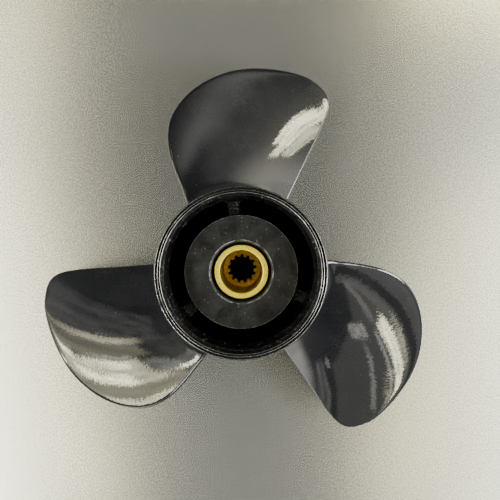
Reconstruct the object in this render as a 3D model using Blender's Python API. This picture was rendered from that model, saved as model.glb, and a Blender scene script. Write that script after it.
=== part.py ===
"""Three-blade outboard boat propeller with a hollow hub for the exhaust.

Right-hand, 235 mm across, for a 13-tooth shaft. The front end, which faces the
gearcase, looks up (+Z), and the propeller stands on its aft rim. The origin lies
on the shaft axis at the propeller's centroid.
"""
import math

import bmesh
import bpy

MM = 0.001
# Clearance between neighbouring solids that touch on the real propeller
GAP = 0.3 * MM

# Heights are measured from the aft rim
CENTROID_HEIGHT = 45.2 * MM
FIRST_BLADE_ANGLE = 97
BLADE_COUNT = 3

# Exhaust barrel
BARREL_LENGTH = 92 * MM
BARREL_RADIUS = 41.5 * MM
FRONT_RIM_RADIUS = 39.4 * MM
FRONT_RIM_BORE = 37.2 * MM
FRONT_TAPER_HEIGHT = 82 * MM
RIM_STEP = 0.5 * MM
CORE_JOINT_HEIGHT = 70 * MM
CORE_JOINT_RADIUS = 36.2 * MM
AFT_FLARE_HEIGHT = 9 * MM
AFT_RIM_RADIUS = 43.6 * MM
AFT_RIM_BORE = 39.8 * MM

# Inner hub, which holds the rubber bush
HUB_FRONT = 77 * MM
HUB_AFT = 15 * MM
HUB_FRONT_RADIUS = 27.6 * MM
HUB_AFT_RADIUS = 28.6 * MM
HUB_MOUTH_RADIUS = 14.7 * MM
HUB_SHOULDER = 10 * MM
HUB_BORE_RADIUS = 22.5 * MM

# Rubber bush, bonded between the inner hub and the sleeve
BUSH_AFT = 18 * MM

# Brass sleeve with the shaft splines
SLEEVE_FRONT = 74 * MM
SLEEVE_AFT = 12 * MM
SLEEVE_RADIUS = 13.2 * MM
COUNTERBORE_RADIUS = 10.55 * MM
SPLINE_FRONT = 32 * MM
SPLINE_TEETH = 13
SPLINE_MAJOR_RADIUS = 8.1 * MM
SPLINE_MINOR_RADIUS = 6.65 * MM

# Ribs between the barrel and the inner hub
RIB_THICKNESS = 6.4 * MM
RIB_AFT = 18 * MM
RIB_FRONT = 59 * MM

# Blades: a screw surface of constant pitch, raked aft towards the tip
PITCH = 267 * MM
RAKE = 0.14
TIP_RADIUS = 117.8 * MM
BLADE_MIDDLE_HEIGHT = 53 * MM
ROOT_THICKNESS = 5.0 * MM
TIP_THICKNESS = 2.2 * MM
EDGE_THICKNESS = 1.8 * MM
ROOT_FILLET = 5.0 * MM
# Blade outline: radius, and angle from the blade's middle line, in mm and degrees
LEADING_EDGE = [(41.5, 32.0), (48.7, 29.5), (59.1, 27.1), (73.5, 23.5), (85.0, 19.0),
                (95.0, 12.3), (104.5, 3.0), (111.3, -6.6), (115.7, -17.0), (117.8, -26.5)]
TRAILING_EDGE = [(41.5, -40.0), (53.0, -38.7), (66.0, -37.6), (80.0, -36.9), (96.0, -36.3),
                 (109.0, -35.1), (115.2, -32.6), (117.8, -26.5)]

# How finely round shapes are divided
TURNED_SEGMENTS = 72
BLADE_STATIONS = 22
CHORD_POINTS = 9
NOSE_POINTS = 3
END_ROWS = 4


def paint(name, colour, roughness, metallic):
    """A Principled material."""
    material = bpy.data.materials.new(name)
    material.use_nodes = True
    shader = material.node_tree.nodes["Principled BSDF"]
    shader.inputs["Base Color"].default_value = (*colour, 1)
    shader.inputs["Roughness"].default_value = roughness
    shader.inputs["Metallic"].default_value = metallic
    return material


def add_object(name, mesh, material, angle=0):
    """One named piece on the shaft axis, turned about it by an angle in degrees."""
    piece = bpy.data.objects.new(name, mesh)
    piece.parent = shaft_axis
    piece.rotation_euler.z = math.radians(angle)
    bpy.context.scene.collection.objects.link(piece)
    if not mesh.materials:
        mesh.materials.append(material)
    return piece


def finish_mesh(name, shape):
    """Turn a bmesh into a mesh that is shaded smooth between its sharp edges."""
    bmesh.ops.recalc_face_normals(shape, faces=shape.faces)
    mesh = bpy.data.meshes.new(name)
    shape.to_mesh(mesh)
    shape.free()
    mesh.shade_smooth()
    mesh.set_sharp_from_angle(angle=math.radians(35))
    return mesh


def turned_mesh(name, profile, segments=TURNED_SEGMENTS):
    """A closed profile of (radius, height) points spun once around the shaft axis."""
    shape = bmesh.new()
    points = [shape.verts.new((radius, 0, height)) for radius, height in profile]
    edges = [shape.edges.new((a, b)) for a, b in zip(points, points[1:] + points[:1])]
    bmesh.ops.spin(shape, geom=points + edges, cent=(0, 0, 0), axis=(0, 0, 1),
                   angle=math.tau, steps=segments, use_merge=True)
    bmesh.ops.remove_doubles(shape, verts=shape.verts, dist=0.01 * MM)
    return finish_mesh(name, shape)


def radius_at(wall, height):
    """Radius of a wall, given as (radius, height) points from aft to front."""
    for (r0, z0), (r1, z1) in zip(wall, wall[1:]):
        if z0 <= height <= z1:
            return r0 + (r1 - r0) * (height - z0) / (z1 - z0)
    return wall[-1][0]


def smooth_through(points, x):
    """Value at x of a smooth curve through (x, y) points in rising order of x."""
    slopes = []
    for i in range(len(points)):
        x0, y0 = points[max(i - 1, 0)]
        x1, y1 = points[min(i + 1, len(points) - 1)]
        slopes.append((y1 - y0) / (x1 - x0))
    x = min(max(x, points[0][0]), points[-1][0])
    i = max(k for k in range(len(points) - 1) if points[k][0] <= x)
    (x0, y0), (x1, y1) = points[i], points[i + 1]
    span = x1 - x0
    t = (x - x0) / span
    return ((2 * t**3 - 3 * t**2 + 1) * y0 + (t**3 - 2 * t**2 + t) * span * slopes[i]
            + (3 * t**2 - 2 * t**3) * y1 + (t**3 - t**2) * span * slopes[i + 1])


def tip_distance(radius):
    """0 at the blade tip, rising as the square root of the depth below it."""
    return math.sqrt(max(0.0, 1 - radius / TIP_RADIUS))


def edge_curve(points):
    """Outline points as (tip distance, angle in radians), from the tip inwards."""
    return [(tip_distance(r * MM), math.radians(a)) for r, a in reversed(points)]


def barrel_inner_wall():
    """Cast inner wall of the barrel, aft to front: the two cores meet at the joint."""
    return [(AFT_RIM_BORE, 0), (CORE_JOINT_RADIUS + 1.4 * MM, AFT_FLARE_HEIGHT),
            (CORE_JOINT_RADIUS, CORE_JOINT_HEIGHT),
            (CORE_JOINT_RADIUS + 0.3 * MM, CORE_JOINT_HEIGHT + 1 * MM),
            (FRONT_RIM_BORE - 0.4 * MM, BARREL_LENGTH - 8.5 * MM),
            (FRONT_RIM_BORE, BARREL_LENGTH - 7.8 * MM),
            (FRONT_RIM_BORE, BARREL_LENGTH - 0.4 * MM)]


def hub_outer_wall():
    """Outer wall of the inner hub, aft to front."""
    return [(HUB_AFT_RADIUS, HUB_AFT + 1 * MM), (HUB_FRONT_RADIUS, HUB_FRONT - 0.6 * MM)]


def add_barrel():
    """The exhaust barrel: tapered to the front rim, flared at the aft rim."""
    lip = FRONT_RIM_BORE + 1.1 * MM
    outer = [(lip, BARREL_LENGTH), (lip + 0.15 * MM, BARREL_LENGTH - RIM_STEP),
             (FRONT_RIM_RADIUS - 0.4 * MM, BARREL_LENGTH - RIM_STEP),
             (FRONT_RIM_RADIUS, BARREL_LENGTH - RIM_STEP - 0.5 * MM),
             (BARREL_RADIUS - 0.3 * MM, FRONT_TAPER_HEIGHT + 2.5 * MM),
             (BARREL_RADIUS, FRONT_TAPER_HEIGHT),
             (BARREL_RADIUS, AFT_FLARE_HEIGHT),
             (BARREL_RADIUS + 0.6 * MM, 0.5 * AFT_FLARE_HEIGHT),
             (AFT_RIM_RADIUS, 0.6 * MM), (AFT_RIM_RADIUS - 0.5 * MM, 0)]
    profile = barrel_inner_wall() + [(FRONT_RIM_BORE + 0.3 * MM, BARREL_LENGTH)] + outer
    add_object("hub_barrel", turned_mesh("hub_barrel", profile), black_paint)


def add_inner_hub():
    """The inner hub: a front shoulder over a bore that is open aft for the bush."""
    mouth = HUB_MOUTH_RADIUS
    chamfer = 1.0 * MM
    profile = hub_outer_wall() + [
        (HUB_FRONT_RADIUS - 0.6 * MM, HUB_FRONT), (mouth + chamfer, HUB_FRONT),
        (mouth, HUB_FRONT - chamfer), (mouth, HUB_FRONT - HUB_SHOULDER),
        (HUB_BORE_RADIUS, HUB_FRONT - HUB_SHOULDER), (HUB_BORE_RADIUS, HUB_AFT + chamfer),
        (HUB_BORE_RADIUS + chamfer, HUB_AFT), (HUB_AFT_RADIUS - 0.8 * MM, HUB_AFT)]
    add_object("inner_hub", turned_mesh("inner_hub", profile), black_paint_inside)


def add_bush():
    """The rubber bush, behind the inner hub's shoulder."""
    top = HUB_FRONT - HUB_SHOULDER - GAP
    inner = SLEEVE_RADIUS + GAP
    outer = HUB_BORE_RADIUS - GAP
    round_off = 1.2 * MM
    profile = [(inner, BUSH_AFT), (outer - round_off, BUSH_AFT), (outer, BUSH_AFT + round_off),
               (outer, top - round_off), (outer - round_off, top), (inner, top)]
    add_object("rubber_bush", turned_mesh("rubber_bush", profile, 48), rubber)


def spline_cutter():
    """The shape of the splined shaft: one groove for each tooth, one of them at +Y."""
    shape = bmesh.new()
    outline = []
    tooth = math.tau / SPLINE_TEETH
    for i in range(SPLINE_TEETH):
        middle = math.pi / 2 + i * tooth
        for turn, radius in ((-0.34, SPLINE_MINOR_RADIUS - 0.5 * MM),
                             (-0.30, SPLINE_MINOR_RADIUS), (-0.18, SPLINE_MAJOR_RADIUS),
                             (0.18, SPLINE_MAJOR_RADIUS), (0.30, SPLINE_MINOR_RADIUS),
                             (0.34, SPLINE_MINOR_RADIUS - 0.5 * MM)):
            angle = middle + turn * tooth
            outline.append(shape.verts.new((radius * math.cos(angle), radius * math.sin(angle),
                                            SLEEVE_AFT - 2 * MM)))
    face = shape.faces.new(outline)
    grown = bmesh.ops.extrude_face_region(shape, geom=[face])
    tops = [v for v in grown["geom"] if isinstance(v, bmesh.types.BMVert)]
    length = SPLINE_FRONT - SLEEVE_AFT + 4 * MM
    bmesh.ops.translate(shape, verts=tops, vec=(0, 0, length))
    cutter = add_object("spline_cutter", finish_mesh("spline_cutter", shape), brass)
    cutter.hide_render = True
    cutter.display_type = "WIRE"
    return cutter


def add_sleeve():
    """The brass sleeve: a plain counterbore ahead of a splined bore."""
    chamfer = 0.5 * MM
    profile = [(SLEEVE_RADIUS, SLEEVE_AFT + chamfer), (SLEEVE_RADIUS, SLEEVE_FRONT - chamfer),
               (SLEEVE_RADIUS - chamfer, SLEEVE_FRONT),
               (COUNTERBORE_RADIUS + chamfer, SLEEVE_FRONT),
               (COUNTERBORE_RADIUS, SLEEVE_FRONT - chamfer),
               (COUNTERBORE_RADIUS, SPLINE_FRONT + 1.5 * MM),
               (SPLINE_MINOR_RADIUS, SPLINE_FRONT), (SPLINE_MINOR_RADIUS, SLEEVE_AFT),
               (SLEEVE_RADIUS - chamfer, SLEEVE_AFT)]
    sleeve = add_object("splined_sleeve", turned_mesh("splined_sleeve", profile, 52), brass)
    cut = sleeve.modifiers.new("splines", "BOOLEAN")
    cut.operation = "DIFFERENCE"
    cut.solver = "EXACT"
    cut.object = spline_cutter()


def rib_mesh():
    """A rib from the inner hub to the barrel, with rounded front and aft ends."""
    shape = bmesh.new()
    rounding = 2.4 * MM
    levels = [(RIB_AFT, 0.45), (RIB_AFT + 0.4 * rounding, 0.85), (RIB_AFT + rounding, 1.0),
              (0.5 * (RIB_AFT + RIB_FRONT), 1.0), (RIB_FRONT - rounding, 1.0),
              (RIB_FRONT - 0.4 * rounding, 0.85), (RIB_FRONT, 0.45)]
    across = [-1, -0.5, 0, 0.5, 1]
    rings = []
    for height, share in levels:
        inner = radius_at(hub_outer_wall(), height) + GAP
        outer = radius_at(barrel_inner_wall(), height) - GAP
        half = 0.5 * RIB_THICKNESS * share
        loop = [(math.sqrt(inner**2 - (half * y)**2), half * y) for y in across]
        loop += [(math.sqrt(outer**2 - (half * y)**2), half * y) for y in reversed(across)]
        rings.append([shape.verts.new((x, y, height)) for x, y in loop])
    join_rings(shape, rings)
    cap_ring(shape, rings[0])
    cap_ring(shape, rings[-1])
    return finish_mesh("rib", shape)


def join_rings(shape, rings):
    """Skin a stack of closed rings that have the same number of points."""
    for low, high in zip(rings, rings[1:]):
        for i in range(len(low)):
            k = (i + 1) % len(low)
            shape.faces.new((low[i], low[k], high[k], high[i]))


def cap_ring(shape, ring):
    """Close a ring with a strip of faces between its two long sides."""
    half = len(ring) // 2
    for i in range(half - 1):
        shape.faces.new((ring[i], ring[i + 1], ring[-2 - i], ring[-1 - i]))


def blade_point(radius, angle, offset):
    """A point on the blade: offset is measured square to the screw surface, forward."""
    lead = PITCH / math.tau
    slant = math.hypot(radius, lead)
    height = BLADE_MIDDLE_HEIGHT + lead * angle - RAKE * (radius - BARREL_RADIUS)
    turned = angle - offset * lead / slant / radius
    return (radius * math.cos(turned), radius * math.sin(turned),
            height + offset * radius / slant)


def blade_section(radius):
    """Ring of points around the blade at one radius: flat aft face, arched front face."""
    leading = smooth_through(edge_curve(LEADING_EDGE), tip_distance(radius))
    trailing = smooth_through(edge_curve(TRAILING_EDGE), tip_distance(radius))
    chord = (leading - trailing) * math.hypot(radius, PITCH / math.tau)
    along = (radius - BARREL_RADIUS) / (TIP_RADIUS - BARREL_RADIUS)
    thickest = ROOT_THICKNESS + (TIP_THICKNESS - ROOT_THICKNESS) * along
    edge = EDGE_THICKNESS * (1 - 0.25 * along)
    # The fillet at the barrel widens both faces
    below = min(1.0, (radius - BARREL_RADIUS - GAP) / ROOT_FILLET)
    flare = ROOT_FILLET * (1 - math.sqrt(1 - (1 - below)**2))
    # The tip thins out to its rounded edge
    thin = min(1.0, (TIP_RADIUS - radius) / (1.1 * MM))
    tip_round = math.sqrt(1 - (1 - thin)**2)
    nose = min(0.5 * edge + flare, 0.3 * chord)
    steps = [nose * (1 - math.cos(math.pi / 2 * i / NOSE_POINTS)) for i in range(NOSE_POINTS)]
    middle = [nose + (chord - 2 * nose) * 0.5 * (1 - math.cos(math.pi * i / CHORD_POINTS))
              for i in range(CHORD_POINTS + 1)]
    places = steps + middle + [chord - x for x in reversed(steps)]
    low_side = []
    high_side = []
    for place in places:
        share = place / chord
        thick = edge + (thickest - edge) * 4 * share * (1 - share)
        inset = min(1.0, min(place, chord - place) / nose)
        half = (0.5 * thick + flare) * math.sqrt(1 - (1 - inset)**2)
        half *= max(tip_round, 0.15)
        angle = trailing + (leading - trailing) * share
        centre = 0.5 * thick
        low_side.append(blade_point(radius, angle, centre - half))
        high_side.append(blade_point(radius, angle, centre + half))
    return low_side + high_side[-2:0:-1]


def blade_mesh():
    """One blade, its middle line along +X."""
    shape = bmesh.new()
    rings = []
    root = BARREL_RADIUS + GAP
    fillet_radii = [root + ROOT_FILLET * share for share in (0, 0.08, 0.25, 0.55)]
    start = tip_distance(root + ROOT_FILLET)
    blade_radii = [TIP_RADIUS * (1 - (start * (1 - i / BLADE_STATIONS))**2)
                   for i in range(BLADE_STATIONS)]
    blade_radii.append(TIP_RADIUS - 0.02 * MM)
    for radius in fillet_radii + blade_radii:
        rings.append([shape.verts.new(point) for point in blade_section(radius)])
    join_rings(shape, rings)
    close_blade_end(shape, rings[0], root)
    close_blade_end(shape, rings[-1], TIP_RADIUS)
    return finish_mesh("blade", shape)


def close_blade_end(shape, ring, radius):
    """Close a blade section with rows of faces that follow the cylinder of that radius."""
    half = len(ring) // 2
    rows = [[ring[0]] * (END_ROWS + 1)]
    for i in range(1, half):
        low, high = ring[i], ring[-i]
        row = [low]
        for k in range(1, END_ROWS):
            point = low.co.lerp(high.co, k / END_ROWS)
            stretch = radius / math.hypot(point.x, point.y)
            row.append(shape.verts.new((point.x * stretch, point.y * stretch, point.z)))
        rows.append(row + [high])
    rows.append([ring[half]] * (END_ROWS + 1))
    for before, after in zip(rows, rows[1:]):
        for k in range(END_ROWS):
            corners = (before[k], before[k + 1], after[k + 1], after[k])
            shape.faces.new(list(dict.fromkeys(corners)))


for old in list(bpy.data.objects):
    bpy.data.objects.remove(old)

black_paint = paint("black_paint", (0.012, 0.012, 0.013), 0.22, 0.0)
black_paint_inside = paint("black_paint_inside", (0.022, 0.021, 0.021), 0.42, 0.0)
rubber = paint("rubber", (0.02, 0.02, 0.02), 0.8, 0.0)
brass = paint("brass", (0.78, 0.6, 0.28), 0.3, 1.0)

shaft_axis = bpy.data.objects.new("shaft_axis", None)
shaft_axis.location.z = -CENTROID_HEIGHT
bpy.context.scene.collection.objects.link(shaft_axis)

add_barrel()
add_inner_hub()
add_bush()
add_sleeve()
shared_blade = blade_mesh()
shared_rib = rib_mesh()
for number in range(BLADE_COUNT):
    turn = FIRST_BLADE_ANGLE + 360 / BLADE_COUNT * number
    add_object(f"blade_{number + 1}", shared_blade, black_paint, turn)
    add_object(f"rib_{number + 1}", shared_rib, black_paint_inside, turn)
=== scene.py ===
import math
from functools import partial
import bpy
import numpy as np
from mathutils import Matrix, Vector, noise


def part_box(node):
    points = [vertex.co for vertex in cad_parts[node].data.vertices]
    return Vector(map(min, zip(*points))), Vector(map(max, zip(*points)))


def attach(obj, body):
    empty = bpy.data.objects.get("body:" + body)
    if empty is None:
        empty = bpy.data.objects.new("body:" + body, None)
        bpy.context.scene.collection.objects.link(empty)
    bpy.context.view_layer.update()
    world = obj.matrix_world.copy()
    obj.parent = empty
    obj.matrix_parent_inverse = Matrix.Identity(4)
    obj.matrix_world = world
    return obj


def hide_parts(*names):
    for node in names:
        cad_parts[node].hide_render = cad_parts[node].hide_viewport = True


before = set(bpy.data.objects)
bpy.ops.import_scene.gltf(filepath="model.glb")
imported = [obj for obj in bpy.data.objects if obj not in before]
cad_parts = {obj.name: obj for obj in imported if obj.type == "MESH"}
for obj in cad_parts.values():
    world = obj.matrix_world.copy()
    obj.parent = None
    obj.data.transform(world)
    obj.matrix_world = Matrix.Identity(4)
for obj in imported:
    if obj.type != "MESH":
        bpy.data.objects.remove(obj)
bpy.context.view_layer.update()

# Exhaust barrel.
# The wide tube in the middle of the one-piece aluminium casting, sprayed gloss black. Its front rim
# is turned with a fine step, whose edges carry a painted highlight of bright bare-metal colour, and
# its inside stays rough as cast, with light specks painted on as glints.
MM = 0.001
aft_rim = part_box("hub_barrel")[0].z
front_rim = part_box("hub_barrel")[1].z
length = front_rim - aft_rim
barrel_radius = 41.5 * MM
rim_bore, rim_step, rim_shoulder = 37.0 * MM, 38.22 * MM, 39.5 * MM
step_drop, edge_break = 0.36 * MM, 0.17 * MM
shoulder_chamfer, shoulder_depth = 0.38 * MM, 15 * MM
turned_depth, turned_chamfer, turned_step = 8.6 * MM, 0.8 * MM, 0.4 * MM
core_radius, core_joint, joint_step = 36.2 * MM, 70 * MM, 0.3 * MM
flare_bore, flare_radius, flare_height = 39.8 * MM, 43.6 * MM, 9 * MM
flare_edge, flare_draft = 0.4 * MM, 1.4 * MM
barrel_steps = 420
grain_spacing = 0.8 * MM
lump_height, pit_height = 0.11 * MM, 0.06 * MM
lumps_per_metre, pits_per_metre = 420, 1100
turned_grain = 0.3


def soften_corners(corners, steps=6):
    """Closed profile through (radius, height, rounding) corners, each rounded by an arc. Most is
    the share of a side that an arc may take."""
    points = []
    most = 0.48
    for i, (radius, height, rounding) in enumerate(corners):
        corner = Vector((radius, height))
        back = Vector(corners[i - 1][:2]) - corner
        ahead = Vector(corners[(i + 1) % len(corners)][:2]) - corner
        half = back.angle(ahead) / 2
        reach = min(rounding / math.tan(half), most * back.length, most * ahead.length)
        if reach <= 0:
            points.append(corner)
            continue
        middle = (back.normalized() + ahead.normalized()).normalized()
        centre = corner + middle * reach / math.cos(half)
        start = corner + back.normalized() * reach - centre
        end = corner + ahead.normalized() * reach - centre
        first = math.atan2(start.y, start.x)
        sweep = (math.atan2(end.y, end.x) - first + math.pi) % math.tau - math.pi
        for k in range(steps + 1):
            angle = first + sweep * k / steps
            points.append(centre + start.length * Vector((math.cos(angle), math.sin(angle))))
    return points


def close_spacing(profile, longest, within=1.0):
    """The same closed profile, with points added on its long straights within that radius."""
    points = []
    for i, point in enumerate(profile):
        step = profile[(i + 1) % len(profile)] - point
        inside = max(point.x, point.x + step.x) < within
        count = max(1, math.ceil(step.length / longest)) if inside else 1
        points += [point + step * k / count for k in range(count)]
    return points


def turn_in_lathe(name, profile, steps, grain=None):
    """Mesh of a closed profile turned once around the shaft axis, with cast grain if given."""
    verts = []
    for k in range(steps):
        angle = math.tau * k / steps
        for radius, height in profile:
            point = Vector((radius * math.cos(angle), radius * math.sin(angle), height))
            if grain:
                point.xy *= 1 + grain(point) / radius
            verts.append(point)
    count = len(profile)
    faces = []
    for k in range(steps):
        here, there = k * count, (k + 1) % steps * count
        for i in range(count):
            j = (i + 1) % count
            faces.append((here + i, there + i, there + j, here + j))
    mesh = bpy.data.meshes.new(name)
    mesh.from_pydata(verts, [], faces)
    mesh.shade_smooth()
    return mesh


def cast_grain(point):
    """Lumps of the rough inner wall, in metres; faint on the turned rim, none outside it."""
    if math.hypot(point.x, point.y) > rim_bore + 0.6 * MM:
        return 0
    lumps = (lump_height * noise.noise(point * lumps_per_metre)
             + pit_height * noise.noise(point * pits_per_metre))
    return turned_grain * lumps if point.z > length - turned_depth else lumps


def fit_piece(name, mesh, finishes, nodes, turn=0):
    """Set a finished piece on the propeller in place of its plain solids, turned in degrees."""
    mesh.transform(Matrix.Rotation(math.radians(turn), 4, "Z"))
    piece = bpy.data.objects.new(name, mesh)
    piece.location.z = aft_rim
    bpy.context.scene.collection.objects.link(piece)
    for finish in finishes:
        mesh.materials.append(finish)
    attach(piece, "root")
    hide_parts(*nodes)


def feed(material, node, inputs):
    """Give a node's inputs their values: a socket is linked, and anything else is set."""
    for key, value in inputs.items():
        if isinstance(value, bpy.types.NodeSocket):
            material.node_tree.links.new(value, node.inputs[key])
        else:
            node.inputs[key].default_value = value


def wire(material, kind, inputs, **settings):
    """Add a shader node to a material or a lamp, and feed its inputs."""
    node = material.node_tree.nodes.new(kind)
    for key, value in settings.items():
        setattr(node, key, value)
    feed(material, node, inputs)
    return node


def begin_finish(name):
    """A new material, its shader and the socket with the place on the piece in metres."""
    material = bpy.data.materials.new(name)
    material.use_nodes = True
    shader = material.node_tree.nodes["Principled BSDF"]
    place = wire(material, "ShaderNodeTexCoord", {}).outputs["Object"]
    return material, shader, place


def blend_colours(material, share, low, high):
    """A colour that runs from low, a colour or a socket, to high as share runs from 0 to 1."""
    start = low if isinstance(low, bpy.types.NodeSocket) else (*low, 1)
    mix = wire(material, "ShaderNodeMix", {0: share, 6: start, 7: (*high, 1)}, data_type="RGBA")
    return mix.outputs[2]


def combine(material, operation, first, second):
    """Two values joined by an operation, such as MULTIPLY."""
    inputs = {0: first, 1: second}
    return wire(material, "ShaderNodeMath", inputs, operation=operation).outputs[0]


def map_range(material, value, low, high, to_low, to_high):
    """A value stretched from one range to another and held at its ends."""
    inputs = {0: value, 1: low, 2: high, 3: to_low, 4: to_high}
    return wire(material, "ShaderNodeMapRange", inputs).outputs[0]


def noise_on(material, place, scale, detail=2.0):
    """Cloudy noise; scale is in lumps per metre."""
    inputs = {"Vector": place, "Scale": scale, "Detail": detail}
    return wire(material, "ShaderNodeTexNoise", inputs).outputs["Fac"]


def dust_and_glint_specks(material, place, spacing, size, kept):
    """1 on tiny specks and 0 between them, used for dust and stains and for painted glints; kept is the
    share of places with one.
    """
    cells = wire(material, "ShaderNodeTexVoronoi", {"Vector": place, "Scale": 1 / spacing})
    core = 0.4 * size / spacing
    near = map_range(material, cells.outputs["Distance"], core, size / spacing, 1, 0)
    pick = wire(material, "ShaderNodeSeparateColor", {0: cells.outputs["Color"]}).outputs[0]
    chosen = map_range(material, pick, kept, kept + 0.01, 1, 0)
    return combine(material, "MULTIPLY", near, chosen)


def raise_bumps(material, layers, normal=None):
    """Bump from layers of (height socket, depth in metres), laid over one another."""
    for height, depth in layers:
        inputs = {"Height": height, "Distance": depth, "Strength": 1.0}
        if normal:
            inputs["Normal"] = normal
        normal = wire(material, "ShaderNodeBump", inputs).outputs["Normal"]
    return normal


def mottle(material, place, coarse, fine):
    """Slow clouds and fine grain in equal parts; both are in lumps per metre."""
    both = combine(material, "ADD", noise_on(material, place, coarse, 3),
                   noise_on(material, place, fine, 2))
    return map_range(material, both, 0.7, 1.3, 0, 1)


def gloss_black(name, sanding=None):
    """Gloss black enamel with orange peel, dust and wiped smudges; sanding, if given, works out
    the direction of the sanded surface that shows through it."""
    material, shader, place = begin_finish(name)
    black = blend_colours(material, mottle(material, place, 45, 1300),
                          (0.0030, 0.0031, 0.0033), (0.0072, 0.0073, 0.0076))
    specks = dust_and_glint_specks(material, place, spacing=3.2 * MM, size=0.22 * MM, kept=0.10)
    dusty = blend_colours(material, specks, black, (0.30, 0.29, 0.27))
    film = map_range(material, noise_on(material, place, 34, 3), 0.58, 0.72, 0, 1)
    wiped = map_range(material, noise_on(material, place, 650, 5), 0.45, 0.72, 0, 1)
    smudge = combine(material, "MULTIPLY", film, wiped)
    satin = map_range(material, noise_on(material, place, 45, 3), 0.3, 0.7, 0.26, 0.38)
    sanded = sanding(material, place) if sanding else None
    orange_peel = noise_on(material, place, 760, 1)
    bumps = raise_bumps(material, [(orange_peel, 0.015 * MM)], sanded)
    feed(material, shader, {
        "Base Color": blend_colours(material, smudge, dusty, (0.020, 0.020, 0.020)),
        "Roughness": satin, "Specular IOR Level": 0.10, "Normal": bumps,
        "Coat Weight": 1.0, "Coat Roughness": 0.04, "Coat Normal": bumps})
    return material


def cast_black(name):
    """The same enamel over rough cast metal, where it shines from pit to pit; its light specks are
    painted glints.
    """
    material, shader, place = begin_finish(name)
    cloud = noise_on(material, place, 90, 3)
    drawn = wire(material, "ShaderNodeMapping", {"Vector": place, "Scale": (1, 1, 0.2)})
    # Light specks drawn out along the wall are painted glints of the rough casting.
    painted_glints = dust_and_glint_specks(material, drawn.outputs[0], spacing=1.2 * MM, size=0.4 * MM, kept=0.32)
    black = blend_colours(material, cloud, (0.002, 0.002, 0.002), (0.008, 0.0079, 0.0076))
    pits = wire(material, "ShaderNodeTexVoronoi", {"Vector": place, "Scale": 1100},
                feature="SMOOTH_F1").outputs["Distance"]
    bumps = raise_bumps(material, [(noise_on(material, place, 900, 4), 1.1 * MM),
                                   (pits, 0.4 * MM)])
    feed(material, shader, {
        "Base Color": blend_colours(material, painted_glints, black, (0.22, 0.215, 0.20)),
        "Roughness": map_range(material, cloud, 0.3, 0.7, 0.22, 0.42),
        "Specular IOR Level": 0.3, "Normal": bumps,
        "Coat Weight": 1.0, "Coat Roughness": 0.12, "Coat Normal": bumps})
    return material


def rim_edge_highlight(name):
    """Bright bare-metal colour on the turned rim's edges: a painted highlight, brighter in places."""
    material, shader, place = begin_finish(name)
    highlight_share = map_range(material, noise_on(material, place, 300, 3), 0.3, 0.62, 0, 1)
    feed(material, shader, {
        "Base Color": blend_colours(material, highlight_share, (0.30, 0.30, 0.295), (0.80, 0.80, 0.79)),
        "Metallic": 1.0,
        "Roughness": map_range(material, highlight_share, 0, 1, 0.45, 0.30),
        "Normal": raise_bumps(material, [(noise_on(material, place, 1500, 2), 0.01 * MM)])})
    return material


barrel_profile = soften_corners([
    (rim_bore - turned_step, length - turned_depth, 0.15 * MM),
    (core_radius + joint_step, core_joint + turned_chamfer, 0.3 * MM),
    (core_radius, core_joint, 0.3 * MM), (core_radius + flare_draft, flare_height, 8 * MM),
    (flare_bore, 0, 0.5 * MM), (flare_radius - flare_edge, 0, 0.3 * MM),
    (flare_radius, flare_edge, 0.5 * MM), (barrel_radius, flare_height, 14 * MM),
    (barrel_radius, length - shoulder_depth, 24 * MM),
    (rim_shoulder + shoulder_chamfer, length - step_drop - shoulder_chamfer, 0.2 * MM),
    (rim_shoulder, length - step_drop, edge_break), (rim_step, length - step_drop, 0.02 * MM),
    (rim_step, length, edge_break), (rim_bore, length, edge_break),
    (rim_bore, length - turned_depth + turned_chamfer, 0.1 * MM)])
barrel_profile = close_spacing(barrel_profile, grain_spacing, rim_bore + 0.1 * MM)
barrel_mesh = turn_in_lathe("hub_barrel_finished", barrel_profile, barrel_steps, cast_grain)
outer_enamel = gloss_black("gloss_black_enamel")
cast_enamel = cast_black("black_enamel_on_rough_casting")
steepest, flattest = 0.2, 0.985
# Faces on the rim step's edges get bright bare-metal colour, which is a painted highlight.
for face in barrel_mesh.polygons:
    radius = math.hypot(face.center.x, face.center.y)
    height = face.center.z
    on_rim = height > length - step_drop - edge_break and radius < rim_shoulder + 0.02 * MM
    gets_painted_highlight = on_rim and steepest < face.normal.z < flattest
    inside = radius < rim_bore + 0.05 * MM and height < length - edge_break
    face.material_index = 2 if gets_painted_highlight else 1 if inside else 0
fit_piece("hub_barrel_finished", barrel_mesh,
          [outer_enamel, cast_enamel, rim_edge_highlight("painted_highlight_on_rim_edges")],
          ["hub_barrel"])

# Ribs.
# Three webs of the casting that carry the inner hub in the barrel, with the exhaust between them.
# Each is left rough, has blunt ends, and spreads into both walls with a fillet.
blade_angles = (97, 217, 337)
rib_aft, rib_front = 18 * MM, 59 * MM
rib_thickness, rib_fillet = 6.4 * MM, 2.6 * MM
rib_inner_wall, rib_outer_wall = 28.0 * MM, 36.6 * MM
rib_overlap = 0.5 * MM
rib_nose, rib_squareness = 0.4, 0.6
rib_steps, rib_end_steps, rib_side_steps = 26, 20, 24


def fillet_spread(distance, rounding):
    """How far a fillet of that rounding spreads at a distance from the wall it meets."""
    part = min(max(distance / rounding, 0), 1)
    return rounding * (1 - math.sqrt(1 - (1 - part)**2))


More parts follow.
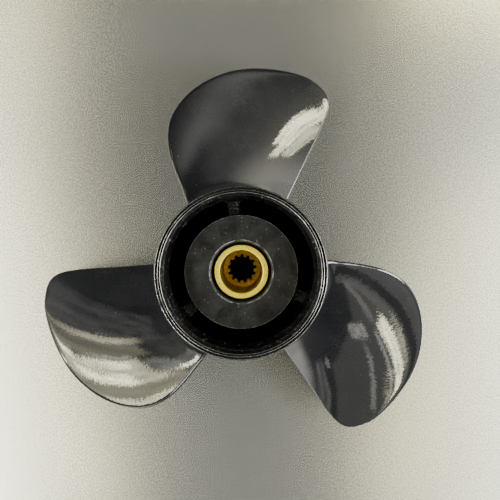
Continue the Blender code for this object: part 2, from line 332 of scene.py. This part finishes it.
def skin_rings(name, rings):
    """Closed mesh over a stack of closed rings of points, with a fan on each end ring."""
    count = len(rings[0])
    verts = [point for ring in rings for point in ring]
    faces = []
    for k in range(len(rings) - 1):
        for i in range(count):
            j = (i + 1) % count
            faces.append((k * count + i, k * count + j, (k + 1) * count + j, (k + 1) * count + i))
    for k, ring in ((0, rings[0]), (len(rings) - 1, rings[-1])):
        verts.append(sum(ring, Vector()) / count)
        hub = len(verts) - 1
        for i in range(count):
            j = (i + 1) % count
            corner = (hub, k * count + j, k * count + i)
            faces.append(corner if k == 0 else corner[::-1])
    mesh = bpy.data.meshes.new(name)
    mesh.from_pydata(verts, [], faces)
    mesh.shade_smooth()
    return mesh


def rib_ring(radius):
    """Rounded outline of a rib at one radius, lumpy as cast, on the cylinder of that radius."""
    spread = (fillet_spread(radius - rib_inner_wall, rib_fillet)
              + fillet_spread(rib_outer_wall - radius, rib_fillet))
    half_thick = rib_thickness / 2 + spread
    half_tall = (rib_front - rib_aft) / 2 + spread
    middle = (rib_front + rib_aft) / 2
    nose = rib_nose * half_thick
    straight = half_tall - nose
    outline = []
    for end in (1, -1):
        for k in range(rib_end_steps + 1):
            angle = math.pi * k / rib_end_steps
            blunt = abs(math.cos(angle))**rib_squareness
            across = end * half_thick * math.copysign(blunt, math.cos(angle))
            along = end * (straight + nose * math.sin(angle)**rib_squareness)
            outline.append((across, middle + along))
        side = [end * straight * (1 - 2 * k / rib_side_steps) for k in range(1, rib_side_steps)]
        outline += [(-end * half_thick, middle + along) for along in side]
    points = []
    for across, height in outline:
        point = Vector((math.sqrt(radius**2 - across**2), across, height))
        lump = 0.16 * MM * noise.noise(point * 380) + 0.08 * MM * noise.noise(point * 900)
        point.y += math.copysign(lump, across)
        point.z += lump
        points.append(point)
    return points


for number, angle in enumerate(blade_angles, 1):
    start = rib_inner_wall - rib_overlap
    span = rib_outer_wall - rib_inner_wall + 2 * rib_overlap
    rings = [rib_ring(start + span * k / rib_steps) for k in range(rib_steps + 1)]
    name = f"rib_{number}_finished"
    fit_piece(name, skin_rings(name, rings), [cast_enamel],
              [f"rib_{number}"], angle)

# Inner hub.
# The boss of the casting that holds the rubber bush. Its front shoulder is faced in a lathe and its
# mouth is chamfered; the enamel there is thin, semi-gloss and dusty, with painted highlights in
# broken lines along the shoulder's outer edge and the chamfer's rim.
hub_front, hub_aft = 77 * MM, 15 * MM
hub_wall_front, hub_wall_aft = 27.6 * MM, 28.6 * MM
hub_bore, mouth_radius = 22.5 * MM, 14.7 * MM
hub_chamfer, lip_depth = 1.0 * MM, 10 * MM
hub_steps, hub_spacing = 300, 1.2 * MM


def distance_from_shaft(material, place):
    """Socket with the distance from the shaft axis."""
    flat = wire(material, "ShaderNodeVectorMath", {0: place, 1: (1, 1, 0)}, operation="MULTIPLY")
    away = wire(material, "ShaderNodeVectorMath", {0: flat.outputs[0]}, operation="LENGTH")
    return away.outputs["Value"]


def chamfer_highlight(name):
    """Enamel on the turned chamfer, with grey metal colour painted in a broken line at its rim as a
    highlight.
    """
    material, shader, place = begin_finish(name)
    radius = distance_from_shaft(material, place)
    # Grey metal colour in a broken line at the chamfer's rim is a painted highlight.
    rim = map_range(material, radius, mouth_radius + 0.5 * hub_chamfer,
                    mouth_radius + 0.75 * hub_chamfer, 0.12, 1)
    patches = map_range(material, mottle(material, place, 260, 1500), 0.35, 0.8, 0, 1)
    highlight_share = combine(material, "MULTIPLY", rim, patches)
    feed(material, shader, {
        "Base Color": blend_colours(material, highlight_share, (0.010, 0.010, 0.009), (0.34, 0.33, 0.31)),
        "Metallic": map_range(material, highlight_share, 0, 1, 0, 0.5), "Roughness": 0.45,
        "Normal": raise_bumps(material, [(noise_on(material, place, 1500, 3), 0.1 * MM)])})
    return material


def faced_black(name):
    """Semi-gloss black over a faced surface: fine rings, dust, and a painted highlight in broken
    patches along its outer edge.
    """
    material, shader, place = begin_finish(name)
    cloud = mottle(material, place, 130, 1500)
    black = blend_colours(material, cloud, (0.002, 0.002, 0.002), (0.019, 0.019, 0.0187))
    specks = dust_and_glint_specks(material, place, spacing=1.5 * MM, size=0.24 * MM, kept=0.30)
    radius = distance_from_shaft(material, place)
    # Light colour in broken patches along the outer edge is a painted highlight; the specks are dust.
    edge = map_range(material, radius, hub_wall_front - 0.4 * MM, hub_wall_front - 0.1 * MM, 0, 1)
    edge_highlight_patches = map_range(material, noise_on(material, place, 1300, 2), 0.40, 0.62, 0, 1)
    light = combine(material, "MAXIMUM", combine(material, "MULTIPLY", edge, edge_highlight_patches), specks)
    across = wire(material, "ShaderNodeCombineXYZ", {0: radius}).outputs[0]
    bumps = raise_bumps(material, [(noise_on(material, place, 900, 4), 0.03 * MM),
                                   (noise_on(material, across, 2600, 1), 0.008 * MM)])
    feed(material, shader, {
        "Base Color": blend_colours(material, light, black, (0.22, 0.215, 0.20)),
        "Roughness": map_range(material, cloud, 0, 1, 0.32, 0.40),
        "Specular IOR Level": 0.46, "Normal": bumps})
    return material


hub_profile = soften_corners([
    (hub_wall_aft, hub_aft, 1.0 * MM), (hub_wall_front, hub_front, 0.35 * MM),
    (mouth_radius + hub_chamfer, hub_front, 0.12 * MM),
    (mouth_radius, hub_front - hub_chamfer, 0.12 * MM),
    (mouth_radius, hub_front - lip_depth, 0.4 * MM), (hub_bore, hub_front - lip_depth, 0.8 * MM),
    (hub_bore, hub_aft + hub_chamfer, 0.2 * MM), (hub_bore + hub_chamfer, hub_aft, 0.2 * MM)])
hub_mesh = turn_in_lathe("inner_hub_finished", close_spacing(hub_profile, hub_spacing), hub_steps)
for face in hub_mesh.polygons:
    radius = math.hypot(face.center.x, face.center.y)
    outside = radius > hub_wall_front
    on_chamfer = (radius < mouth_radius + 0.95 * hub_chamfer
                  and face.center.z > hub_front - 0.98 * hub_chamfer)
    face.material_index = 1 if outside else 2 if on_chamfer else 0
fit_piece("inner_hub_finished", hub_mesh,
          [faced_black("black_enamel_on_faced_hub"), cast_enamel, chamfer_highlight("chamfer_with_painted_highlight")],
          ["inner_hub"])

# Blades.
# Three right-hand screw blades of the same casting, raked aft, with a flat aft face and an arched
# front face. They are sanded by hand, and slow waves and fine strokes show through the enamel.
pitch = 267 * MM
lead = pitch / math.tau
rake = 0.14
tip_radius = 117.8 * MM
blade_middle = 53 * MM
root_thickness, tip_thickness, edge_thickness = 5.0 * MM, 2.2 * MM, 1.8 * MM
edge_taper = 0.25
root_fillet, fillet_end, end_swell = 5.0 * MM, 12 * MM, 0.15
edge_rounding = 1.3 * MM
root_sink = 0.25 * MM
wave_height, ripple_height, waves_fade = 0.10 * MM, 0.03 * MM, 6 * MM
waves_per_metre = 38
fillet_sections, blade_sections = 14, 84
edge_steps, middle_steps = 7, 44
outline_steps = 240
leading_edge = [(41.5, 32.0), (48.7, 29.5), (59.1, 27.1), (73.5, 23.5), (85.0, 19.0),
                (95.0, 12.3), (104.5, 3.0), (111.3, -6.6), (115.7, -17.0), (117.8, -26.5)]
trailing_edge = [(41.5, -40.0), (53.0, -38.7), (66.0, -37.6), (80.0, -36.9), (96.0, -36.3),
                 (109.0, -35.1), (115.2, -32.6), (117.8, -26.5)]
blade_sanding = ((48, 0.002), (90, 0.015), (30, 0.010))


def tip_distance(radius):
    """0 at the tip, rising as the square root of the depth below it."""
    return math.sqrt(max(0.0, 1 - radius / tip_radius))


def edge_angle(outline, radius):
    """Angle of a blade edge at a radius: a smooth curve through the outline's points, which are
    radii in millimetres and angles in degrees from the blade's middle line."""
    points = [(tip_distance(r * MM), math.radians(a)) for r, a in reversed(outline)]
    place = min(max(tip_distance(radius), points[0][0]), points[-1][0])
    slopes = []
    for i in range(len(points)):
        (x0, y0), (x1, y1) = points[max(i - 1, 0)], points[min(i + 1, len(points) - 1)]
        slopes.append((y1 - y0) / (x1 - x0))
    i = max(k for k in range(len(points) - 1) if points[k][0] <= place)
    (x0, y0), (x1, y1) = points[i], points[i + 1]
    span = x1 - x0
    t = (place - x0) / span
    return ((2 * t**3 - 3 * t**2 + 1) * y0 + (t**3 - 2 * t**2 + t) * span * slopes[i]
            + (3 * t**2 - 2 * t**3) * y1 + (t**3 - t**2) * span * slopes[i + 1])


def blade_point(radius, angle, offset):
    """A point of the blade: offset is measured forward, square to the screw surface."""
    slant = math.hypot(radius, lead)
    turned = angle - offset * lead / slant / radius
    height = blade_middle + lead * angle - rake * (radius - barrel_radius)
    return Vector((radius * math.cos(turned), radius * math.sin(turned),
                   height + offset * radius / slant))


def blade_outline():
    """Points all round the blade's edge, from the trailing root over the tip."""
    start = tip_distance(barrel_radius)
    depths = [start * (1 - k / outline_steps) for k in range(outline_steps + 1)]
    radii = [tip_radius * (1 - depth**2) for depth in depths]
    trailing = [blade_point(r, edge_angle(trailing_edge, r), 0) for r in radii]
    leading = [blade_point(r, edge_angle(leading_edge, r), 0) for r in radii]
    return np.array([tuple(p) for p in trailing + leading[::-1]])


def distance_to_edge(points, outline):
    """Shortest distance from each point to the blade's edge line."""
    start, step = outline[:-1], outline[1:] - outline[:-1]
    squared = np.maximum((step**2).sum(1), 1e-18)
    nearest = []
    for point in points:
        along = np.clip(((point - start) * step).sum(1) / squared, 0, 1)
        gaps = start + step * along[:, None] - point
        nearest.append(math.sqrt((gaps**2).sum(1).min()))
    return nearest


def blade_radii():
    """Radii of the blade's sections: close in the root fillet and at the tip."""
    fillet = [barrel_radius - root_sink + (root_fillet + root_sink) * (k / fillet_sections)**2
              for k in range(fillet_sections)]
    start = tip_distance(barrel_radius + root_fillet)
    depths = [start * (1 - k / blade_sections)**1.15 for k in range(blade_sections)]
    return fillet + [tip_radius * (1 - depth**2) for depth in depths]


def blade_places(chord, nose):
    """Places across a section, from the trailing edge: close at both rounded edges."""
    rounds = [nose * (1 - math.cos(math.pi / 2 * k / edge_steps)) for k in range(edge_steps)]
    middle = [nose + (chord - 2 * nose) * 0.5 * (1 - math.cos(math.pi * k / middle_steps))
              for k in range(middle_steps + 1)]
    return rounds + middle + [chord - x for x in reversed(rounds)]


def blade_mesh(name):
    """One finished blade with its middle line along +X."""
    outline = blade_outline()
    rings = []
    for radius in blade_radii():
        leading = edge_angle(leading_edge, radius)
        trailing = edge_angle(trailing_edge, radius)
        chord = (leading - trailing) * math.hypot(radius, lead)
        along = (radius - barrel_radius) / (tip_radius - barrel_radius)
        thickest = root_thickness + (tip_thickness - root_thickness) * along
        edge = edge_thickness * (1 - edge_taper * along)
        flare = fillet_spread(radius - barrel_radius, root_fillet)
        nose = min(edge_rounding + 0.3 * flare, 0.3 * chord)
        places = blade_places(chord, nose)
        angles = [trailing + (leading - trailing) * x / chord for x in places]
        flat = [tuple(blade_point(radius, angle, 0)) for angle in angles]
        gaps = distance_to_edge(np.array(flat), outline)
        low_side, high_side = [], []
        for x, angle, gap in zip(places, angles, gaps):
            share = x / chord
            thick = edge + (thickest - edge) * 4 * share * (1 - share)
            part = min(1, min(gap, x, chord - x) / nose)
            to_end = min(1, min(x, chord - x) / fillet_end)
            swell = flare * (end_swell + (1 - end_swell) * to_end * to_end * (3 - 2 * to_end))
            half = (0.5 * thick + swell) * math.sqrt(max(0, 1 - (1 - part)**2))
            wave = Vector((radius, angle * 0.08, 0)) * waves_per_metre
            sway = wave_height * noise.noise(wave) + ripple_height * noise.noise(wave * 2.7)
            sway *= min(1, gap / waves_fade)
            low_side.append(blade_point(radius, angle, 0.5 * thick - half + 0.5 * sway))
            high_side.append(blade_point(radius, angle, 0.5 * thick + half + sway))
        rings.append(low_side + high_side[-2:0:-1])
    return skin_rings(name, rings)


def sand_along(material, place, stroke, slope):
    """Surface direction of a sanded face: narrow strips that lean to and fro, at most by that
    slope, along the strokes, which run at an angle in degrees from the X axis."""
    angle = math.radians(stroke)
    turned = wire(material, "ShaderNodeVectorRotate", {"Vector": place, "Angle": -angle},
                  rotation_type="Z_AXIS")
    stretch = 0.07
    drawn = wire(material, "ShaderNodeMapping",
                 {"Vector": turned.outputs[0], "Scale": (stretch, 1, stretch)})
    strips = noise_on(material, drawn.outputs[0], 1500, 1)
    patches = map_range(material, noise_on(material, place, 40, 1), 0.42, 0.58, 0.25, 1)
    to_and_fro = map_range(material, strips, 0.3, 0.7, -slope, slope)
    lean = combine(material, "MULTIPLY", to_and_fro, patches)
    swing = wire(material, "ShaderNodeVectorMath",
                 {0: (math.cos(angle), math.sin(angle), 0), "Scale": lean}, operation="SCALE")
    facing = wire(material, "ShaderNodeNewGeometry", {}).outputs["Normal"]
    tilted = wire(material, "ShaderNodeVectorMath", {0: facing, 1: swing.outputs[0]},
                  operation="ADD")
    return wire(material, "ShaderNodeVectorMath", {0: tilted.outputs[0]},
                operation="NORMALIZE").outputs[0]


for number, angle in enumerate(blade_angles, 1):
    stroke, slope = blade_sanding[number - 1]
    blade_enamel = gloss_black(f"gloss_black_enamel_on_blade_{number}",
                               partial(sand_along, stroke=stroke, slope=slope))
    name = f"blade_{number}_finished"
    fit_piece(name, blade_mesh(name), [blade_enamel], [f"blade_{number}"], angle)

# Rubber bush.
# The cushion that drives the propeller, moulded around the sleeve and pressed into the inner hub.
# From the front it is the dark bottom of the gap around the sleeve; from behind it shows a matt end
# with a moulded groove and a bloom of dust.
bush_aft, bush_front = 18 * MM, 66.7 * MM
sleeve_radius = 13.2 * MM
bush_clearance = 0.05 * MM
bush_outer, bush_inner = hub_bore - bush_clearance, sleeve_radius + bush_clearance
groove_inner, groove_outer = 16.6 * MM, 19.2 * MM
groove_depth, groove_slope = 1.6 * MM, 1.0 * MM
bush_steps, bush_spacing = 180, 2 * MM


def moulded_rubber(name):
    """Matt black rubber, greyer where it has bloomed."""
    material, shader, place = begin_finish(name)
    cloud = noise_on(material, place, 160, 4)
    feed(material, shader, {
        "Base Color": blend_colours(material, cloud, (0.012, 0.012, 0.012), (0.045, 0.044, 0.042)),
        "Roughness": map_range(material, cloud, 0.3, 0.7, 0.62, 0.85),
        "Normal": raise_bumps(material, [(noise_on(material, place, 1400, 3), 0.03 * MM)])})
    return material


bush_profile = soften_corners([
    (bush_outer, bush_aft + 0.6 * MM, 0.8 * MM), (bush_outer, bush_front, 0.8 * MM),
    (bush_inner, bush_front, 0.5 * MM), (bush_inner, bush_aft, 0.4 * MM),
    (groove_inner - groove_slope, bush_aft, 0.6 * MM),
    (groove_inner, bush_aft + groove_depth, 0.6 * MM),
    (groove_outer, bush_aft + groove_depth, 0.6 * MM),
    (groove_outer + groove_slope, bush_aft, 0.6 * MM)])
bush_profile = close_spacing(bush_profile, bush_spacing)
bush_mesh = turn_in_lathe("rubber_bush_finished", bush_profile, bush_steps)
fit_piece("rubber_bush_finished", bush_mesh, [moulded_rubber("bloomed_rubber")],
          ["rubber_bush"])

# Splined sleeve.
# Brass, turned and then broached: a faced front ring that takes the thrust washer, a plain
# counterbore, and thirteen splines for the shaft. The ring is bright, the bore is tarnished, and
# old grease fills the splines.
sleeve_aft, sleeve_front = 12 * MM, 74 * MM
spline_front = 32 * MM
counterbore = 10.55 * MM
ring_width, ring_steps = 1.95 * MM, 5
sleeve_edge, bore_steps = 0.4 * MM, 12
teeth = 13
groove_radius, tooth_radius = 8.1 * MM, 6.65 * MM
groove_half, flank = 0.30, 0.12
points_per_tooth = 20


def spline_radius(angle):
    """Radius of the broached bore: one groove straight up and twelve more around."""
    turn = ((angle - math.pi / 2) * teeth / math.tau + 0.5) % 1 - 0.5
    rise = min(max((groove_half - abs(turn)) / flank, 0), 1)
    return tooth_radius + (groove_radius - tooth_radius) * rise * rise * (3 - 2 * rise)


def stained_brass(name, dark, light, dull):
    """Turned brass with tool rings and stains between a dark and a light tone."""
    material, shader, place = begin_finish(name)
    cloud = mottle(material, place, 200, 900)
    clean = blend_colours(material, cloud, dark, light)
    spots = dust_and_glint_specks(material, place, spacing=1.1 * MM, size=0.32 * MM, kept=0.35)
    up = wire(material, "ShaderNodeSeparateXYZ", {0: place}).outputs[2]
    across = wire(material, "ShaderNodeCombineXYZ",
                  {0: distance_from_shaft(material, place), 1: up}).outputs[0]
    bumps = raise_bumps(material, [(noise_on(material, place, 900, 3), 0.06 * MM),
                                   (noise_on(material, across, 3000, 1), 0.01 * MM)])
    feed(material, shader, {
        "Base Color": blend_colours(material, spots, clean, (0.20, 0.12, 0.02)),
        "Metallic": 1.0, "Roughness": map_range(material, cloud, 0, 1, dull + 0.12, dull),
        "Normal": bumps})
    return material


def old_grease(name):
    """What is left of the shaft grease in the splines: dark brown, half dry."""
    material, shader, place = begin_finish(name)
    cloud = noise_on(material, place, 700, 3)
    feed(material, shader, {
        "Base Color": blend_colours(material, cloud, (0.006, 0.005, 0.004), (0.018, 0.013, 0.008)),
        "Roughness": map_range(material, cloud, 0.3, 0.7, 0.35, 0.7),
        "Normal": raise_bumps(material, [(cloud, 0.06 * MM)])})
    return material


def sleeve_mesh(name):
    """Rings of points from the aft bore edge, up the bore, and down the outside. A splined ring
    follows the teeth and stands off them by its size; a round ring's size is its radius."""
    small = sleeve_edge / 4
    levels = [("splined", sleeve_aft + 0.6 * MM, 0), ("splined", spline_front - 0.7 * MM, 0),
              ("splined", spline_front - 0.5 * MM, 0.02 * MM),
              ("splined", spline_front - 0.1 * MM, 0.3 * MM),
              ("splined", spline_front, 0.45 * MM), ("round", spline_front, 8.9 * MM),
              ("round", spline_front, counterbore - 0.8 * MM),
              ("round", spline_front + 0.2 * MM, counterbore - 0.3 * MM),
              ("round", spline_front + 0.8 * MM, counterbore)]
    levels += [("round", spline_front + (sleeve_front - spline_front) * k / bore_steps,
                counterbore) for k in range(2, bore_steps)]
    levels += [("round", sleeve_front - 0.45 * MM, counterbore),
               ("round", sleeve_front - 0.12 * MM, counterbore + 0.12 * MM)]
    levels += [("round", sleeve_front, counterbore + sleeve_edge + ring_width * k / ring_steps)
               for k in range(ring_steps + 1)]
    levels += [("round", sleeve_front - small, sleeve_radius - small),
               ("round", sleeve_front - sleeve_edge, sleeve_radius),
               ("round", sleeve_aft + sleeve_edge, sleeve_radius),
               ("round", sleeve_aft + small, sleeve_radius - small),
               ("round", sleeve_aft, sleeve_radius - sleeve_edge),
               ("round", sleeve_aft, groove_radius + sleeve_edge)]
    count = teeth * points_per_tooth
    verts, faces = [], []
    for shape, height, size in levels:
        for k in range(count):
            angle = math.tau * k / count
            radius = size + (spline_radius(angle) if shape == "splined" else 0)
            verts.append((radius * math.cos(angle), radius * math.sin(angle), height))
    for row in range(len(levels)):
        here, there = row * count, (row + 1) % len(levels) * count
        for k in range(count):
            j = (k + 1) % count
            faces.append((here + j, here + k, there + k, there + j))
    mesh = bpy.data.meshes.new(name)
    mesh.from_pydata(verts, [], faces)
    mesh.shade_smooth()
    mesh.set_sharp_from_angle(angle=math.radians(40))
    return mesh


splined = sleeve_mesh("splined_sleeve_finished")
for face in splined.polygons:
    radius = math.hypot(face.center.x, face.center.y)
    greased = radius < groove_radius + 0.1 * MM and face.center.z < spline_front - 0.55 * MM
    in_bore = radius < counterbore + 0.02 * MM and face.center.z < sleeve_front - 0.5 * MM
    face.material_index = 1 if greased else 2 if in_bore else 0
fit_piece("splined_sleeve_finished", splined,
          [stained_brass("handled_brass", (0.76, 0.52, 0.035), (1.0, 0.88, 0.085), 0.44),
           old_grease("old_shaft_grease"),
           stained_brass("tarnished_brass", (0.42, 0.30, 0.09), (0.84, 0.64, 0.20), 0.42)],
          ["splined_sleeve"])

# Table and shade sheet.
# The propeller stands on its aft rim on a wide pale table of satin metal. A round sheet of black felt
# under the barrel is painted shade, so that no light comes up through the exhaust passages.
table_half = 3.0
shade_sheet_radius, shade_sheet_sides, shade_sheet_thickness = 39 * MM, 64, 0.3 * MM


def lay_sheet(name, corners, material):
    """A flat sheet of the studio, which isn't part of the propeller."""
    mesh = bpy.data.meshes.new(name)
    mesh.from_pydata(corners, [], [tuple(range(len(corners)))])
    mesh.materials.append(material)
    sheet = bpy.data.objects.new(name, mesh)
    bpy.context.scene.collection.objects.link(sheet)
    return sheet


def satin_metal(name):
    """Pale, slightly warm satin metal with a fine grain."""
    material, shader, place = begin_finish(name)
    grain = map_range(material, noise_on(material, place, 1060, 2), 0.3, 0.7, 0, 1)
    feed(material, shader, {
        "Base Color": blend_colours(material, grain, (0.42, 0.416, 0.400), (0.82, 0.812, 0.782)),
        "Metallic": 0.9, "Roughness": 0.25,
        "Normal": raise_bumps(material, [(grain, 0.0076 * MM)])})
    return material


def black_felt(name):
    """Dull black felt that gives back almost no light."""
    material, shader, _ = begin_finish(name)
    feed(material, shader, {"Base Color": (0.004, 0.004, 0.004, 1), "Roughness": 0.95,
                            "Specular IOR Level": 0.1})
    return material


lay_sheet("table", [(-table_half, -table_half, aft_rim), (table_half, -table_half, aft_rim),
                    (table_half, table_half, aft_rim), (-table_half, table_half, aft_rim)],
          satin_metal("satin_table"))
felt = black_felt("black_felt")
# The round black felt sheet under the barrel is painted shade for the exhaust passages.
shade_sheet_edge = []
for k in range(shade_sheet_sides):
    angle = math.tau * k / shade_sheet_sides
    shade_sheet_edge.append((shade_sheet_radius * math.cos(angle), shade_sheet_radius * math.sin(angle),
                     aft_rim + shade_sheet_thickness))
lay_sheet("shade_sheet_under_barrel", shade_sheet_edge, felt)

# Lights.
# Soft boxes stand all round, low ones that the enamel mirrors and high ones that the table mirrors.
# A black flag hangs over the table, out of view, and keeps its middle dark.
box_distance = 1.6
brightest_wall = 7
daylight = (1.0, 0.955, 0.66)
wall_light = (1.0, 0.985, 0.90)
ceiling_light = (1.0, 0.945, 0.49)
tube_light = (0.93, 0.965, 1.05)
floor_light = (1.0, 0.97, 0.82)
room_light = (0.140, 0.147, 0.180, 1)


def hang_softbox(name, azimuth, elevation, wide, tall, brightness, roll=0, soft=0.15,
                 streaks=None, dim=0.3, colour=None):
    """A soft box that faces the propeller, placed and sized in degrees as seen from there. Soft is
    the share of each side that fades; streaks are dim patches, counted across and up. Without a
    colour, a bright box gives daylight and a dim one wall light."""
    light = bpy.data.lights.new(name, "AREA")
    light.shape = "RECTANGLE"
    light.size = 2 * box_distance * math.tan(math.radians(wide / 2))
    light.size_y = 2 * box_distance * math.tan(math.radians(tall / 2))
    light.color = colour or (daylight if brightness > brightest_wall else wall_light)
    light.energy = brightness * light.size * light.size_y * math.pi
    light.use_nodes = True
    spot = wire(light, "ShaderNodeNewGeometry", {}).outputs["Parametric"]
    split = wire(light, "ShaderNodeSeparateXYZ", {0: spot})
    fades = []
    for side in (0, 1):
        centred = combine(light, "SUBTRACT", split.outputs[side], 0.5)
        away = wire(light, "ShaderNodeMath", {0: centred}, operation="ABSOLUTE").outputs[0]
        fades.append(wire(light, "ShaderNodeMapRange", {0: away, 1: 0.5 - soft, 2: 0.5, 3: 1, 4: 0},
                          interpolation_type="SMOOTHSTEP").outputs[0])
    strength = combine(light, "MULTIPLY", *fades)
    if streaks:
        drawn = wire(light, "ShaderNodeMapping", {"Vector": spot, "Scale": (*streaks, 1)})
        cloud = noise_on(light, drawn.outputs[0], 1, 4)
        tone = map_range(light, cloud, 0.36, 0.62, dim, 1)
        strength = combine(light, "MULTIPLY", strength, tone)
    feed(light, light.node_tree.nodes["Emission"], {"Strength": strength})
    lamp = bpy.data.objects.new(name, light)
    turn, rise = math.radians(azimuth), math.radians(elevation)
    lamp.location = box_distance * Vector((math.cos(turn) * math.cos(rise),
                                           math.sin(turn) * math.cos(rise), math.sin(rise)))
    facing = lamp.location.to_track_quat("Z", "Y").to_matrix()
    lamp.rotation_euler = (facing @ Matrix.Rotation(math.radians(roll), 3, "Z")).to_euler()
    lamp.visible_camera = False
    bpy.context.scene.collection.objects.link(lamp)


hang_softbox("right_window", 13.5, 22.5, 8.2, 11.8, 48, roll=-4, soft=0.08, streaks=(9, 1), dim=0.08)
hang_softbox("right_front_window", -14, 33, 24, 15, 42, soft=0.2, colour=tube_light)
hang_softbox("right_window_foot", 11.8, 14.6, 4.8, 7.0, 34, soft=0.2, streaks=(6, 1), dim=0.2)
hang_softbox("right_window_side", 6.5, 18.8, 6.0, 13.8, 22, soft=0.14, streaks=(7, 1), dim=0.1)
hang_softbox("right_low_glow", 1, 0, 80, 44, 3.1, soft=0.45, colour=floor_light)
hang_softbox("rear_wall", 33, 20, 42, 32, 0.42, soft=0.3)
hang_softbox("rear_wall_lit", 57, 29, 32, 12, 1.5, soft=0.5)
hang_softbox("rear_right_tube", 68, 47, 56, 7, 11, soft=0.2, colour=ceiling_light)
hang_softbox("left_rear_panel", 128.4, 18, 22, 36, 0.1, roll=8, soft=0.04)
hang_softbox("left_rear_wall", 151.4, 23, 16.8, 24, 0.85, roll=18, soft=0.05, streaks=(6, 5), dim=0.15)
hang_softbox("left_rear_window", 159.9, 26, 4.4, 17, 11, roll=11, soft=0.4, streaks=(2, 5), dim=0.5)
hang_softbox("left_gap", 165.2, 26.2, 9, 12, 3.1, streaks=(3, 2), dim=0.5, colour=daylight)
hang_softbox("left_low_wall", 170, 13, 17, 12.5, 0.45, soft=0.1, streaks=(3, 3), dim=0.4)
hang_softbox("left_window", 177.4, 27.2, 14.2, 6.8, 14.5, soft=0.12, streaks=(4, 4), dim=0.45)
hang_softbox("left_window_edge", 169, 27, 2.2, 6, 4.2, soft=0.3)
hang_softbox("left_window_head", 173, 27.6, 5.4, 4.4, 36, soft=0.35, streaks=(4, 4), dim=0.15)
hang_softbox("left_window_foot", 180.6, 28.5, 7.4, 2.4, 50, soft=0.35, streaks=(4, 2), dim=0.15)
hang_softbox("left_low_strip", 178, 22, 13, 4.4, 3, soft=0.2, streaks=(3, 2), dim=0.4)
hang_softbox("left_wall", 184, 17, 15, 15, 2.6, soft=0.25, streaks=(3, 3), dim=0.5)
hang_softbox("left_front_wall", 188.6, 26.6, 9, 9, 5.4, streaks=(3, 3), dim=0.6, colour=daylight)
hang_softbox("left_sloping_strip", 184.9, 18.7, 2.8, 11, 30, roll=27, soft=0.25)
hang_softbox("left_front_window", 193.9, 28.3, 5.2, 3, 28, soft=0.25, streaks=(4, 2))
hang_softbox("left_front_corner", 191, 12, 6, 12, 3, soft=0.3)
hang_softbox("front_window", -71, 26, 7.2, 5, 50, soft=0.25, streaks=(5, 3), dim=0.12)
hang_softbox("front_window_head", -73, 28.4, 19, 1.3, 8, soft=0.3)
hang_softbox("front_window_pane", -66, 27.4, 6, 1.8, 9, streaks=(5, 1))
hang_softbox("front_sloping_strip", -70.4, 19, 3.4, 12, 2, roll=43, soft=0.25, streaks=(3, 2), dim=0.5)
hang_softbox("front_upright_strip", -76.7, 26.2, 1.9, 6.4, 4, roll=10, soft=0.2)
hang_softbox("front_slanted_strip", -86.3, 26, 2.7, 11, 2.4, roll=33, soft=0.25)
hang_softbox("front_low_panel", -82.8, 18.6, 9.5, 4.5, 5.2, roll=38, streaks=(4, 3), dim=0.2)
hang_softbox("front_spot", -105.5, 13.2, 2.4, 4.5, 5, roll=-10, soft=0.3, streaks=(2, 3))
hang_softbox("front_panel", -110.5, 20, 6, 22, 1.8, streaks=(4, 1), dim=0.1)
hang_softbox("front_wall", -84, 25, 40, 20, 0.62, soft=0.05)
hang_softbox("front_wall_end", -64.7, 19, 5.2, 18, 0.75, roll=-6, soft=0.08)
hang_softbox("front_right_wall", -50.2, 20, 13.6, 26, 1.25, roll=-6, soft=0.05, streaks=(3, 3), dim=0.6)
hang_softbox("front_low_glow", -128, 12, 29, 40, 4.2, soft=0.25)
hang_softbox("front_skylight", -38, 45, 50, 7, 3.5, soft=0.2, colour=tube_light)
hang_softbox("overhead_left", 199, 54, 62, 34, 3.55, soft=0.25, colour=ceiling_light)
hang_softbox("overhead_left_rear", 131, 53, 34, 30, 2.9, soft=0.35, colour=ceiling_light)
hang_softbox("overhead_right", -24, 55, 56, 34, 2.4, soft=0.25, colour=ceiling_light)
hang_softbox("overhead_right_rear", 34, 55, 52, 34, 0.47, soft=0.3, colour=ceiling_light)
hang_softbox("ceiling_tube_left", 190, 47, 86, 7, 25, soft=0.2, colour=tube_light)
hang_softbox("ceiling_tube_right", 0, 47, 60, 7, 13.5, soft=0.2, colour=tube_light)

world = bpy.data.worlds.new("pale_room")
world.use_nodes = True
world.node_tree.nodes["Background"].inputs["Color"].default_value = room_light
bpy.context.scene.world = world

flag_height = 0.8
flag_outline = [(-0.37, -0.33), (-0.22, -0.68), (0.215, -0.68), (0.31, -0.33), (0.395, 0.88),
                (-0.41, 0.88), (-0.465, 0.45), (-0.465, 0.13)]
flag = lay_sheet("flag", [(x, y, flag_height) for x, y in flag_outline], felt)
flag.visible_camera = False

# Camera.
# It looks almost straight down on the front end from about a quarter of a metre, like a phone held
# over the table, so the blades' far tips look smaller than they are.
camera_height = 237 * MM
camera_data = bpy.data.cameras.new("camera")
camera_data.lens = 37.44
camera_data.sensor_width = 36
camera = bpy.data.objects.new("camera", camera_data)
camera.location = (2.56 * MM, 11.15 * MM, front_rim + camera_height)
camera.rotation_euler = (-0.002, -0.0066, 0)
bpy.context.scene.collection.objects.link(camera)
bpy.context.scene.camera = camera
